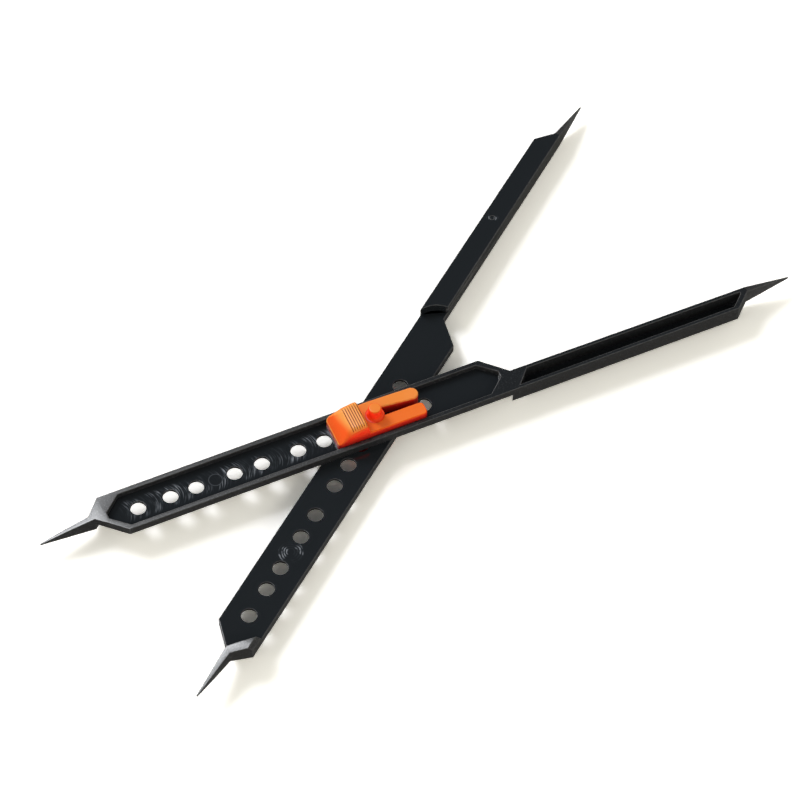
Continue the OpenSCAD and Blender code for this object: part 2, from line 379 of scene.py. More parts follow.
def to_mesh(work, name):
    """Mesh from an edit mesh, which is used up."""
    mesh = bpy.data.meshes.new(name)
    work.to_mesh(mesh)
    work.free()
    return mesh


# Bends of an edge: none, a low crease, and one that gets rounded
FLAT = math.radians(0.5)
CREASE = math.radians(2)
SHARP = math.radians(20)

BEVEL_SEGMENTS = 2

# Points this close are one point, or lie on one plane
WELD = 0.01 * MM
TOUCH = 0.001 * MM


def clean_copy(node, place, sliver, cuts):
    """Mesh of a CAD node in its own frame: no slivers, one face to a flat, cut across at each hole."""
    work = bmesh.new()
    work.from_mesh(frame["nodes"][node].data)
    work.transform(place.inverted())
    bmesh.ops.remove_doubles(work, verts=work.verts, dist=WELD)
    short = [edge for edge in work.edges if edge.calc_length() < sliver]
    bmesh.ops.collapse(work, edges=short)
    for along in cuts:
        everything = work.verts[:] + work.edges[:] + work.faces[:]
        made = bmesh.ops.bisect_plane(
            work, geom=everything, dist=TOUCH, plane_co=(along, 0, 0), plane_no=(1, 0, 0))
        for part in made["geom_cut"]:
            if isinstance(part, bmesh.types.BMEdge):
                part.seam = True
    bmesh.ops.dissolve_limit(
        work, angle_limit=FLAT, verts=work.verts, edges=work.edges, delimit={"SEAM"})
    work.normal_update()
    return work


def bend_between(edge):
    """Angle between the two faces of an edge."""
    return edge.calc_face_angle() if edge.is_manifold else 0.0


def is_upright(edge):
    """True for an edge that runs up a wall."""
    line = edge.verts[1].co - edge.verts[0].co
    return abs(line.z) > 0.9 * line.length


def weigh_edges(work, radius_of, largest):
    """Gives each sharp outer edge its own rounding, as a share of the largest."""
    weight = work.edges.layers.float.new("bevel_weight_edge")
    for edge in work.edges:
        if edge.is_manifold and edge.calc_face_angle_signed() > SHARP:
            edge[weight] = radius_of(edge) / largest


def to_marked_mesh(work, name):
    """Mesh with two empty material slots, whose index tells its rounded faces and those painted pale as
    highlights from the rest.
    """
    mesh = to_mesh(work, name)
    mesh.materials.append(None)
    mesh.materials.append(None)
    return mesh


def rounded(work, name, radius):
    """Mesh with its weighted edges rounded; the rounded faces take the second material index."""
    mesh = to_marked_mesh(work, name)

    def add_bevel(modifiers):
        bevel = modifiers.new("round", "BEVEL")
        bevel.limit_method = "WEIGHT"
        bevel.width = radius
        bevel.segments = BEVEL_SEGMENTS
        bevel.material = 1
        bevel.use_clamp_overlap = False

    result = baked(mesh, name, add_bevel)
    keep_creases(result)
    return result


def keep_creases(mesh):
    """Marks the low creases between flat faces as sharp."""
    work = bmesh.new()
    work.from_mesh(mesh)
    for edge in work.edges:
        between_flats = all(face.material_index == 0 for face in edge.link_faces)
        edge.smooth = not between_flats or is_upright(edge) or bend_between(edge) < CREASE
    work.to_mesh(mesh)
    work.free()


def carved(mesh, name, cutters):
    """Mesh after its cutters, each a mesh with the name of a boolean operation."""
    blades = [(new_piece(cutter, "blade"), operation) for cutter, operation in cutters]

    def add_cuts(modifiers):
        for blade, operation in blades:
            cut = modifiers.new("cut", "BOOLEAN")
            cut.object = blade
            cut.operation = operation
            cut.solver = "EXACT"

    result = baked(mesh, name, add_cuts)
    for blade, operation in blades:
        spare = blade.data
        bpy.data.objects.remove(blade)
        bpy.data.meshes.remove(spare)
    return result


def shaded(mesh, name):
    """Mesh with flat faces that stay flat between their rounded edges."""
    for face in mesh.polygons:
        face.use_smooth = True

    def add_normals(modifiers):
        normals = modifiers.new("normals", "WEIGHTED_NORMAL")
        normals.weight = 100
        normals.keep_sharp = True

    return baked(mesh, name, add_normals)


def mark_surface(mesh, zone_of):
    """Stores where each point lies, which faces are rounded edges, and each face's zone."""
    places = mesh.attributes.new(PLACE, "FLOAT_VECTOR", "POINT")
    for point, vertex in zip(places.data, mesh.vertices):
        point.vector = vertex.co
    edges = mesh.attributes.new(EDGE, "FLOAT", "FACE")
    zones = mesh.attributes.new(ZONE, "FLOAT", "FACE")
    for face in mesh.polygons:
        edges.data[face.index].value = float(face.material_index == 1)
        zones.data[face.index].value = zone_of(face)
        face.material_index = 0


def set_in_place(mesh, place, material, body, node):
    """Makes the finished mesh a piece that stands for its CAD node and moves with its body."""
    mesh.transform(place)
    mesh.materials.clear()
    mesh.materials.append(material)
    piece = new_piece(mesh, "dressed_" + node)
    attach(piece, body)
    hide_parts(node)
    return piece


# Shader helpers
def add_node(tree, kind, **values):
    """Adds a node; a value named after an input sets that input, any other sets a property."""
    node = tree.nodes.new(kind)
    for key, value in values.items():
        label = key.replace("_", " ").title()
        if label in node.inputs:
            node.inputs[label].default_value = value
        else:
            setattr(node, key, value)
    return node


def math_node(tree, operation, first, second):
    """Adds a math node; each side is a socket or a number."""
    node = tree.nodes.new("ShaderNodeMath")
    node.operation = operation
    for socket, value in zip(node.inputs, (first, second)):
        if isinstance(value, (int, float)):
            socket.default_value = value
        else:
            tree.links.new(value, socket)
    return node.outputs[0]


def product(tree, mask, *parts):
    """Mask times each of the other masks."""
    for part in parts:
        mask = math_node(tree, "MULTIPLY", mask, part)
    return mask


def vector_node(tree, operation, first, second):
    """Adds a vector math node; the first side is a socket and the second a value."""
    node = tree.nodes.new("ShaderNodeVectorMath")
    node.operation = operation
    tree.links.new(first, node.inputs[0])
    node.inputs[1].default_value = second
    return node.outputs


def axes_of(tree, place):
    """Outputs X, Y and Z of a place."""
    node = tree.nodes.new("ShaderNodeSeparateXYZ")
    tree.links.new(place, node.inputs[0])
    return node.outputs


def ramp(tree, value, low, high, out_low=0.0, out_high=1.0):
    """Maps a socket from one span to another with a smooth start and end, clamped."""
    node = tree.nodes.new("ShaderNodeMapRange")
    node.interpolation_type = "SMOOTHSTEP"
    tree.links.new(value, node.inputs["Value"])
    node.inputs["From Min"].default_value = low
    node.inputs["From Max"].default_value = high
    node.inputs["To Min"].default_value = out_low
    node.inputs["To Max"].default_value = out_high
    return node.outputs["Result"]


def blend_colour(tree, share, first, second):
    """Mixes two colours, each a socket or a value, by a socket."""
    node = tree.nodes.new("ShaderNodeMix")
    node.data_type = "RGBA"
    tree.links.new(share, node.inputs["Factor"])
    for socket, value in zip((node.inputs[6], node.inputs[7]), (first, second)):
        if isinstance(value, bpy.types.NodeSocket):
            tree.links.new(value, socket)
        else:
            socket.default_value = (*value, 1)
    return node.outputs[2]


def read_attribute(tree, name, output):
    """Output of an attribute node."""
    node = tree.nodes.new("ShaderNodeAttribute")
    node.attribute_name = name
    return node.outputs[output]


def noise(tree, place, scale, detail=2.0, stretch=(1, 1, 1)):
    """Noise over the piece's own place, with its own stretch along each axis."""
    mapping = tree.nodes.new("ShaderNodeMapping")
    mapping.inputs["Scale"].default_value = stretch
    tree.links.new(place, mapping.inputs["Vector"])
    node = add_node(tree, "ShaderNodeTexNoise", scale=scale, detail=detail)
    tree.links.new(mapping.outputs["Vector"], node.inputs["Vector"])
    return node.outputs["Fac"]


def new_group(name, inputs, outputs):
    """Shader node group with named sockets."""
    tree = bpy.data.node_groups.new(name, "ShaderNodeTree")
    for label, kind in inputs:
        tree.interface.new_socket(label, in_out="INPUT", socket_type=kind)
    for label, kind in outputs:
        tree.interface.new_socket(label, in_out="OUTPUT", socket_type=kind)
    enter = tree.nodes.new("NodeGroupInput")
    leave = tree.nodes.new("NodeGroupOutput")
    return tree, enter.outputs, leave.inputs


def mould_grain_group():
    """Fine grain of a textured mould whose peaks are painted paler as glints, with slow mottling; it fades
    where the mould is polished.
    """
    found = bpy.data.node_groups.get("mould_grain")
    if found:
        return found
    tree, enter, leave = new_group(
        "mould_grain",
        [("Place", "NodeSocketVector"), ("Grain", "NodeSocketFloat"), ("Share", "NodeSocketFloat")],
        [("Height", "NodeSocketFloat"), ("Painted glint", "NodeSocketFloat"), ("Mottle", "NodeSocketFloat")])
    fine = add_node(tree, "ShaderNodeTexNoise", detail=3.0)
    tree.links.new(enter["Place"], fine.inputs["Vector"])
    tree.links.new(enter["Grain"], fine.inputs["Scale"])
    tree.links.new(product(tree, fine.outputs["Fac"], enter["Share"]), leave["Height"])
    # Painted glint: the grain's peaks, which the plastics blend towards a paler colour
    sparkle = ramp(tree, fine.outputs["Fac"], 0.52, 0.70)
    tree.links.new(product(tree, sparkle, enter["Share"]), leave["Painted glint"])
    tree.links.new(noise(tree, enter["Place"], 140.0, 3.0), leave["Mottle"])
    return tree


def edge_wear_and_highlight_group():
    """Rubbed edges with a painted highlight: the rounded faces, broken up by noise."""
    found = bpy.data.node_groups.get("edge_wear_and_highlight")
    if found:
        return found
    tree, enter, leave = new_group(
        "edge_wear_and_highlight",
        [("Place", "NodeSocketVector"), ("Edge", "NodeSocketFloat")],
        [("Wear and highlight", "NodeSocketFloat")])
    broken = ramp(tree, noise(tree, enter["Place"], 700.0, 4.0), 0.3, 0.7, 0.35, 1.0)
    tree.links.new(product(tree, broken, enter["Edge"]), leave["Wear and highlight"])
    return tree


def place_group(tree, group, **sockets):
    """Places a group in a material and connects its inputs."""
    node = tree.nodes.new("ShaderNodeGroup")
    node.node_tree = group
    for label, value in sockets.items():
        if isinstance(value, bpy.types.NodeSocket):
            tree.links.new(value, node.inputs[label])
        else:
            node.inputs[label].default_value = value
    return node.outputs


def new_plastic(name):
    """Material with a Principled shader; returns it with its tree and the shader's inputs."""
    material = bpy.data.materials.new(name)
    material.use_nodes = True
    tree = material.node_tree
    return material, tree, tree.nodes["Principled BSDF"].inputs


BUMP_STRENGTH = 0.5


def bump(tree, height, depth):
    """Normal from a height, with the depth of the relief in metres."""
    node = add_node(tree, "ShaderNodeBump", strength=BUMP_STRENGTH, distance=depth)
    tree.links.new(height, node.inputs["Height"])
    return node.outputs["Normal"]


# Stretch of the arm, from the wide tip, along which the rims lose their grain and its painted glint, as the
# light on them falls off
RIM_FADE = (100 * MM, 150 * MM)


def grain_share(tree, place, far_rims):
    """Grain of each face: none where it is polished, and less on the rims towards the narrow end, which
    takes their painted glint away there.
    """
    zone = read_attribute(tree, ZONE, "Fac")
    rim = ramp(tree, zone, GRAINED, RIM)
    lost = ramp(tree, axes_of(tree, place)["X"], *RIM_FADE, 0.0, 1.0 - far_rims)
    grained = math_node(tree, "MINIMUM", zone, GRAINED)
    return math_node(tree, "SUBTRACT", grained, product(tree, rim, lost))


def offset_from(tree, place, centre):
    """Offset from a point of the plan, laid flat, and its length."""
    shift = vector_node(tree, "SUBTRACT", place, (*centre, 0))["Vector"]
    flat = vector_node(tree, "MULTIPLY", shift, (1, 1, 0))["Vector"]
    return flat, vector_node(tree, "LENGTH", flat, (0, 0, 0))["Value"]


# Scratches of the channel floor: their bow, their fineness and that of their patches, along and across
SCUFF_BOW = 90.0
SCUFF_GRAIN = (2300, 190, 0)
PATCH_GRAIN = (190, 130, 0)
# Where the scratches fade in and out: along the arm, out from its middle, and above the mating face
SCUFF_START = (26 * MM, 30 * MM)
SCUFF_END = (106 * MM, 96 * MM)
SCUFF_REACH = (4.4 * MM, 2.6 * MM)
FLOOR_FACE = (0.7 * MM, 0.9 * MM)
BELOW_RIM = (1.5 * MM, 1.3 * MM)
# Clean disc among the scratches, with a faint ring round it
DISC_EDGE = (1.9 * MM, 2.2 * MM)
RING_RADIUS = 2.1 * MM
RING_FADE = (0.22 * MM, 0.05 * MM)


def scuff_mask(tree, place, disc_place):
    """Bowed scratches across the channel floor, in patches between the holes and round a clean disc."""
    axes = axes_of(tree, place)
    along = axes["X"]
    across = math_node(tree, "ABSOLUTE", axes["Y"], 0.0)
    bowed = tree.nodes.new("ShaderNodeCombineXYZ")
    bow = product(tree, across, across, SCUFF_BOW)
    tree.links.new(math_node(tree, "ADD", along, bow), bowed.inputs["X"])
    tree.links.new(axes["Y"], bowed.inputs["Y"])
    streaks = ramp(tree, noise(tree, bowed.outputs["Vector"], 1.0, 4.0, SCUFF_GRAIN), 0.46, 0.68)
    patches = ramp(tree, noise(tree, place, 1.0, 2.0, PATCH_GRAIN), 0.42, 0.60, 0.08, 1.0)
    band = ramp(tree, across, *SCUFF_REACH)
    start = ramp(tree, along, *SCUFF_START)
    end = ramp(tree, along, *SCUFF_END)
    distance = offset_from(tree, place, (disc_place, 0))[1]
    disc = ramp(tree, distance, *DISC_EDGE, 0.12, 1.0)
    scratches = product(tree, streaks, patches, band, start, end, disc)
    off_ring = math_node(tree, "ABSOLUTE", math_node(tree, "SUBTRACT", distance, RING_RADIUS), 0.0)
    ring = ramp(tree, off_ring, *RING_FADE, 0.0, 0.3)
    marks = math_node(tree, "MAXIMUM", scratches, ring)
    return product(tree, marks, ramp(tree, axes["Z"], *FLOOR_FACE), ramp(tree, axes["Z"], *BELOW_RIM))


# Way across the swirl along which its strokes show, heights at which it ends, and its rings
STROKE_WAY = (0.47, 0.88, 0)
BACK_FACE = (0.5 * MM, 0.3 * MM)
SWIRL_RATE = 7800.0
SWIRL_BEND = 9.0


def blush_mask(tree, place, centre, radius):
    """Broken swirl to two sides of a place where the plastic flowed in."""
    flat, distance = offset_from(tree, place, centre)
    aside = math_node(tree, "ABSOLUTE", vector_node(tree, "DOT_PRODUCT", flat, STROKE_WAY)["Value"], 0.0)
    sides = ramp(tree, math_node(tree, "DIVIDE", aside, distance), 0.5, 0.85, 0.05, 1.0)
    back = ramp(tree, axes_of(tree, place)["Z"], *BACK_FACE)
    swirl = product(tree, noise(tree, place, 330.0, 3.0), SWIRL_BEND)
    ringed = math_node(tree, "ADD", product(tree, distance, SWIRL_RATE), swirl)
    wave = ramp(tree, math_node(tree, "SINE", ringed, 0.0), -0.6, 0.8)
    broken = ramp(tree, noise(tree, place, 380.0, 3.0), 0.46, 0.60, 0.06, 1.0)
    inside = ramp(tree, distance, radius, radius * 0.8)
    outside = ramp(tree, distance, radius * 0.1, radius * 0.3)
    return product(tree, wave, broken, inside, outside, back, sides)


# Arms' plastic: its grain's fineness and depth, its roughness, and shares of wear with painted glint, and
# of blush
ARM_GRAIN = 1900.0
ARM_RELIEF = 0.045 * MM
ARM_ROUGHNESS = (0.06, 0.29)
WEAR_AND_GLINT_SHARE = 0.4
BLUSH_SHARE = 0.9


def arm_plastic(arms):
    """Black satin plastic: polished flats, grained rims and tips with painted glints, scuffs, and rubbed
    edges with a painted highlight.
    """
    found = bpy.data.materials.get("arm_plastic")
    if found:
        return found
    material, tree, shader = new_plastic("arm_plastic")
    place = read_attribute(tree, PLACE, "Vector")
    share = grain_share(tree, place, arms.far_rims)
    grain = place_group(tree, mould_grain_group(), Place=place, Grain=ARM_GRAIN, Share=share)
    wear_and_highlight = place_group(tree, edge_wear_and_highlight_group(), Place=place, Edge=read_attribute(tree, EDGE, "Fac"))["Wear and highlight"]
    scuffs = scuff_mask(tree, place, arms.blush_place)
    swirl = blush_mask(tree, place, (arms.blush_place, 0), arms.blush_size)
    gate = blush_mask(tree, place, arms.gate_place, arms.gate_blush)
    blush = math_node(tree, "MAXIMUM", swirl, gate)
    # Paler where the grain glints and on the rounded edges: painted glint and highlight as well as wear
    wear_and_glint = product(tree, math_node(tree, "MAXIMUM", grain["Painted glint"], wear_and_highlight), WEAR_AND_GLINT_SHARE)
    marks = math_node(tree, "MAXIMUM", scuffs, product(tree, blush, BLUSH_SHARE))
    colour = blend_colour(tree, share, arms.polished, arms.grained)
    colour = blend_colour(tree, wear_and_glint, colour, arms.wear_and_glint)
    tree.links.new(blend_colour(tree, marks, colour, arms.scuffed), shader["Base Color"])
    rough = ramp(tree, share, 0.0, 1.0, *ARM_ROUGHNESS)
    uneven = product(tree, grain["Mottle"], 0.04)
    rubbed = product(tree, marks, 0.25)
    rough = math_node(tree, "ADD", math_node(tree, "ADD", rough, uneven), rubbed)
    tree.links.new(rough, shader["Roughness"])
    tree.links.new(bump(tree, grain["Height"], ARM_RELIEF), shader["Normal"])
    shader["Specular IOR Level"].default_value = 0.42
    return material


# Painted sheen on the grip: slant of its border, distance past the brow where it is full, and spans where
# it starts
GRIP_SLANT = 0.3
GRIP_FULL = 0.2 * MM
GRIP_RISE = (5.2 * MM, 6.6 * MM)
GRIP_LEVEL = (0.6, 0.1)


def grip_sheen_mask(tree, place, zone, slides):
    """Painted sheen over the grip: paler orange, fading down the nose and off the sides."""
    axes = axes_of(tree, place)
    slanted = math_node(tree, "ADD", axes["X"], product(tree, axes["Y"], GRIP_SLANT))
    front = ramp(tree, slanted, slides.brow[0] - slides.brow_sheen, slides.brow[0] + GRIP_FULL)
    back = ramp(tree, axes["X"], -slides.hump_end, -slides.hump_end - slides.hump_drop)
    high = ramp(tree, axes["Z"], *GRIP_RISE)
    level = ramp(tree, zone, *GRIP_LEVEL)
    return product(tree, front, back, high, level)


# Slides' plastic: fineness and depth of its grain, roughness, and shares of its paler colour for wear,
# painted highlight and glint
SLIDE_GRAIN = 2400.0
SLIDE_RELIEF = 0.012 * MM
SLIDE_ROUGHNESS = (0.28, 0.4)
RUBBED_SHARE = 0.6
GLINT_SHARE = 0.06
# Spans of height and of zone between its colours: painted shade low on walls, on steep faces and in
# grooves, and paler tops
WALL_SHADE_HEIGHTS = (6.6 * MM, 2.9 * MM)
STEEP_SHADE = (0.1, 0.8)
GROOVE_SHADE_FADE = (1.1, GROOVE_SHADE)
PALE_TOP_FADE = (0.0, -1.0)


def slide_plastic(slides):
    """Orange semi-gloss plastic with painted shade, deeper on its walls and in its grooves, and paler on
    its rounded edges and grip.
    """
    found = bpy.data.materials.get("slide_plastic")
    if found:
        return found
    material, tree, shader = new_plastic("slide_plastic")
    place = read_attribute(tree, PLACE, "Vector")
    zone = read_attribute(tree, ZONE, "Fac")
    grain = place_group(tree, mould_grain_group(), Place=place, Grain=SLIDE_GRAIN, Share=1.0)
    wear_and_highlight = place_group(tree, edge_wear_and_highlight_group(), Place=place, Edge=read_attribute(tree, EDGE, "Fac"))["Wear and highlight"]
    # Painted shade: walls darker red lower down, and steep faces deeper than the tops
    low = ramp(tree, axes_of(tree, place)["Z"], *WALL_SHADE_HEIGHTS)
    wall = blend_colour(tree, low, slides.wall, slides.foot)
    colour = blend_colour(tree, ramp(tree, zone, *STEEP_SHADE), slides.top, wall)
    colour = blend_colour(tree, ramp(tree, zone, *GROOVE_SHADE_FADE), colour, slides.groove)
    # Paler on rounded edges and over the grip: wear with painted highlight, and painted sheen
    rubbed = math_node(tree, "MAXIMUM", wear_and_highlight, grip_sheen_mask(tree, place, zone, slides))
    pale_top = ramp(tree, zone, *PALE_TOP_FADE)
    light = math_node(tree, "MAXIMUM", product(tree, rubbed, RUBBED_SHARE), pale_top)
    light = math_node(tree, "MAXIMUM", light, product(tree, grain["Painted glint"], GLINT_SHARE))
    tree.links.new(blend_colour(tree, light, colour, slides.rubbed), shader["Base Color"])
    tree.links.new(ramp(tree, grain["Mottle"], 0.2, 0.8, *SLIDE_ROUGHNESS), shader["Roughness"])
    tree.links.new(bump(tree, grain["Height"], SLIDE_RELIEF), shader["Normal"])
    shader["Specular IOR Level"].default_value = 0.1
    return material


# Facets round the gate's ring and round its bead
RING_STEPS = 48
RING_SECTION = 10


def add_ring(work, centre, radius, thickness):
    """Raised bead in a circle, half sunk into the face that it stands on."""
    rows = []
    for i in range(RING_STEPS):
        turn = 2 * math.pi * i / RING_STEPS
        out = Vector((math.cos(turn), math.sin(turn), 0))
        row = []
        for j in range(RING_SECTION):
            swing = 2 * math.pi * j / RING_SECTION
            reach = radius + thickness * math.cos(swing)
            row.append(work.verts.new(centre + out * reach + Vector((0, 0, thickness * math.sin(swing)))))
        rows.append(row)
    for i, row in enumerate(rows):
        following = rows[(i + 1) % RING_STEPS]
        for j in range(RING_SECTION):
            k = (j + 1) % RING_SECTION
            face = work.faces.new((row[j], following[j], following[k], row[k]))
            face.material_index = 1


# Ratios of the holes, from the wide tip on, and of the one that the pin sits in
RATIOS = (7, 5, 4, 3, 2.5, 2, 1.72, 1.5, 1.3, 1)
PIVOT_RATIO = 1.3

# Sizes that tell the edges and faces of an arm apart
ARM_SLIVER = 0.36 * MM
HOLE_EDGE = 0.6 * MM
STEP_REACH = 6 * MM
SKIN = 0.3 * MM
WIDE_END = 27 * MM

# Least rise of the normal of a level face, and most rise of that of an upright one
LEVEL = 0.99
UPRIGHT = 0.01

STEP_CUTS = 11


def near_round(edge):
    """True for the short edges round a hole."""
    return edge.calc_length() < HOLE_EDGE


def hollow_step(work, step_place, hollow):
    """Bows in the wall where the narrow half starts."""
    def is_wall(face):
        centre = face.calc_center_median()
        upright = abs(face.normal.z) < UPRIGHT
        in_place = abs(centre.x - step_place) < STEP_REACH and centre.z < 0
        return upright and in_place and face.normal.x < -0.3

    wall = next(face for face in work.faces if is_wall(face))
    inward = -wall.normal.copy()
    level = [edge for edge in wall.edges if not is_upright(edge)]
    ends = [vertex.co.copy() for vertex in level[0].verts]
    across = (ends[1] - ends[0]).xy
    bmesh.ops.subdivide_edges(work, edges=level, cuts=STEP_CUTS, use_grid_fill=True)
    on_wall = [v for v in work.verts if abs((v.co - ends[0]).dot(inward)) < TOUCH and v.co.z < SKIN]
    for vertex in on_wall:
        share = (vertex.co - ends[0]).xy.dot(across) / across.length_squared
        if 0.001 < share < 0.999:
            vertex.co += inward * hollow * (1 - (2 * share - 1) ** 2)
    work.normal_update()


def dress_arm(arm, arms):
    """Rounded, marked copy of one arm, made in its own frame from the wide tip."""
    node = arm + "_arm"
    place = arm_frame(arm) @ Matrix.Translation((-arms.length / (1 + PIVOT_RATIO), 0, 0))
    cuts = [arms.length / (1 + ratio) for ratio in RATIOS]
    work = clean_copy(node, place, ARM_SLIVER, [*cuts, arms.pocket_cut])
    hollow_step(work, arms.step_place, arms.step_hollow)
    lowest = min(vertex.co.z for vertex in work.verts)
    highest = max(vertex.co.z for vertex in work.verts)

    def by_step(spot):
        return abs(spot.x - arms.step_place) < STEP_REACH and spot.z < SKIN

    def radius_of(edge):
        if not near_round(edge):
            return arms.edge_radius
        return 0.0 if by_step(edge.verts[0].co) else arms.hole_radius

    weigh_edges(work, radius_of, arms.edge_radius)
    add_ring(work, Vector((*arms.gate_place, lowest)), arms.gate_size, arms.gate_bead)
    mesh = shaded(rounded(work, node, arms.edge_radius), node)

    def zone_of(face):
        below_rim = face.center.z < highest - SKIN
        flat = abs(face.normal.z) > LEVEL and below_rim and face.center.x > WIDE_END
        step_wall = by_step(face.center) and face.normal.x < -0.1
        if flat or step_wall:
            return POLISHED
        return RIM if face.normal.z > LEVEL else GRAINED

    mark_surface(mesh, zone_of)
    return set_in_place(mesh, place, arm_plastic(arms), arm, node)


class DIVIDER_OT_dress_arms(bpy.types.Operator):
    """Dress the two arms."""

    bl_idname = "divider.dress_arms"
    bl_label = "Arms"

    def execute(self, context):
        for arm in ("upper", "lower"):
            dress_arm(arm, context.scene.divider_arms)
        return {"FINISHED"}


# Steps of an arc and of the slide's soft edge, and distance below which points of its plan are one
ARC_STEPS = 8
ROUND_STEPS = 5
SNAP = 0.02 * MM


def arc(centre, radius, start, end, steps):
    """Points on an arc, angles in degrees; the radius has a value for each axis."""
    angles = [math.radians(start + (end - start) * i / steps) for i in range(steps + 1)]
    return [(centre[0] + radius[0] * math.cos(a), centre[1] + radius[1] * math.sin(a)) for a in angles]


def corner(x, y, radius, start):
    """Quarter arc that rounds a corner of a plan, from one angle to a quarter turn on."""
    turn = math.radians(start + 45)
    reach = radius * math.sqrt(2)
    centre = (x - reach * math.cos(turn), y - reach * math.sin(turn))
    return arc(centre, (radius, radius), start, start + 90, ARC_STEPS)


def slide_plan(slides):
    """Plan of the upper slide: body, fixed rail, pin's bore that opens into a slot, and spring finger."""
    half = slides.half_width
    bore = slides.bore_radius
    rail = slides.rail_width - half
    opening = [math.degrees(math.asin(edge / bore)) for edge in (rail, rail + slides.slot_width)]
    return [
        *corner(-slides.nose, -half, slides.corner_radius, 180),
        *corner(slides.tail, -half, slides.corner_radius, 270),
        *corner(slides.tail, rail, slides.corner_radius, 0),
        *arc((0, 0), (bore, bore), opening[0], opening[1] - 360, 4 * ARC_STEPS),
        *arc(slides.finger_place, (slides.finger_radius, slides.finger_radius), -90, 90, 2 * ARC_STEPS),
        (0, half),
        *corner(-slides.nose, half, slides.corner_radius, 90),
    ]


def rounded_path(points, radii):
    """Line through the points with its inner corners rounded."""
    line = [Vector(point) for point in points]
    path = [line[0]]
    for before, here, after, radius in zip(line, line[1:], line[2:], radii):
        back = (before - here).normalized()
        onward = (after - here).normalized()
        opening = back.angle(onward) / 2
        reach = radius / math.tan(opening)
        middle = here + (back + onward).normalized() * radius / math.sin(opening)
        first, last = (((here + way * reach) - middle).normalized() for way in (back, onward))
        path += [middle + first.slerp(last, i / ARC_STEPS) * radius for i in range(ARC_STEPS + 1)]
    return [*path, line[-1]]


def height_at(path, along):
    """Height of a side view at a distance along the slide."""
    for low, high in zip(path, path[1:]):
        if along <= high.x:
            return low.y + (high.y - low.y) * (along - low.x) / (high.x - low.x)
    return path[-1].y


def slide_profile(slides):
    """Side view of the upper slide's top: nose, brow, hump, steep end and rail."""
    return rounded_path(
        [
            (-2 * slides.nose, slides.lip - slides.nose * slides.nose_slope),
            slides.brow,
            (-slides.hump_end - slides.hump_drop, slides.hump_top),
            (-slides.hump_end, slides.base_top),
            (2 * slides.tail, slides.base_top),
        ],
        slides.hump_rounds)


def grooved(slides, smooth):
    """Side view with the grip's grooves cut into the hump."""
    path = list(smooth)
    half = slides.rib_width / 2
    for i in range(slides.ribs):
        middle = slides.rib_start + i * slides.rib_pitch
        path = [point for point in path if abs(point.x - middle) > half]
        for shift, depth in ((-half, 0), (-half / 2, 1), (half / 2, 1), (half, 0)):
            along = middle + shift
            path.append(Vector((along, height_at(smooth, along) - depth * slides.rib_depth)))
    return sorted(path, key=lambda point: point.x)


def crossed_outline(corners, lines):
    """Closed outline with a point wherever it crosses a line across the slide."""
    outline = []
    for start, end in zip(corners, [*corners[1:], corners[0]]):
        start, end = Vector(start), Vector(end)
        if (end - start).length < SNAP:
            continue
        outline.append(start)
        run = end.x - start.x
        left, right = sorted((start.x, end.x))
        for line in sorted(lines, reverse=run < 0):
            if left + SNAP < line < right - SNAP:
                outline.append(start.lerp(end, (line - start.x) / run))
    return outline


def inward_ways(outline):
    """Way into the outline at each of its points, made up to twice as long to keep a border even."""
    ways = []
    for i, here in enumerate(outline):
        onward = (outline[(i + 1) % len(outline)] - here).normalized()
        along = ((here - outline[i - 1]).normalized() + onward).normalized()
        way = Vector((-along.y, along.x))
        ways.append(way / max(0.5, way.dot(Vector((-onward.y, onward.x)))))
    return ways


def ease(low, high, value):
    """Smooth step from 0 to 1."""
    share = min(1.0, max(0.0, (value - low) / (high - low)))
    return share * share * (3 - 2 * share)


def soft_radius(slides, spot):
    """Rounding of the slide's upper edge: small at the nose, wide on the hump, less on the rail."""
    at_nose = 1 - ease(-slides.nose, slides.brow[0], spot.x)
    on_rail = ease(-slides.hump_end - slides.hump_drop, -0.8 * slides.hump_end, spot.x)
    radius = slides.edge_radius + (slides.lip_radius - slides.edge_radius) * at_nose
    return radius + (slides.slot_radius - radius) * on_rail


# Part of the soft edge's rise in which the grooves deepen, and reach of the lip and of the sides' lean
GROOVE_RISE = (0.6, 1.0)
LIP_REACH = 0.3 * MM
LEAN_REACH = 0.6 * MM
SLIDE_CREASE = math.radians(32)


def soft_rows(work, slides, outline, smooth, path):
    """Rows of points up the slide: its foot, then the soft upper edge with the grooves deepening."""
    ways = inward_ways(outline)
    rows = [[work.verts.new((*spot, slides.floor_level)) for spot in outline]]
    for step in range(ROUND_STEPS + 1):
        turn = math.pi / 2 * step / ROUND_STEPS
        cut = ease(*GROOVE_RISE, math.sin(turn))
        row = []
        for spot, way in zip(outline, ways):
            radius = soft_radius(slides, spot)
            inner = spot + way * radius * (1 - math.cos(turn))
            level = height_at(smooth, inner.x) * (1 - cut) + height_at(path, inner.x) * cut
            row.append(work.verts.new((*inner, level - radius * (1 - math.sin(turn)))))
        rows.append(row)
    return rows


def wrap_rows(work, slides, rows):
    """Walls between the rows; the ones by the finger and at the lip take the second index, which paints
    them paler as a highlight.
    """
    for index, (low, high) in enumerate(zip(rows, rows[1:])):
        for i in range(len(low)):
            face = work.faces.new((low[i - 1], low[i], high[i], high[i - 1]))
            at_lip = high[i].co.x < LIP_REACH - slides.nose and index > 1
            face.material_index = int(index > 0 and high[i].co.y > 0 or at_lip)


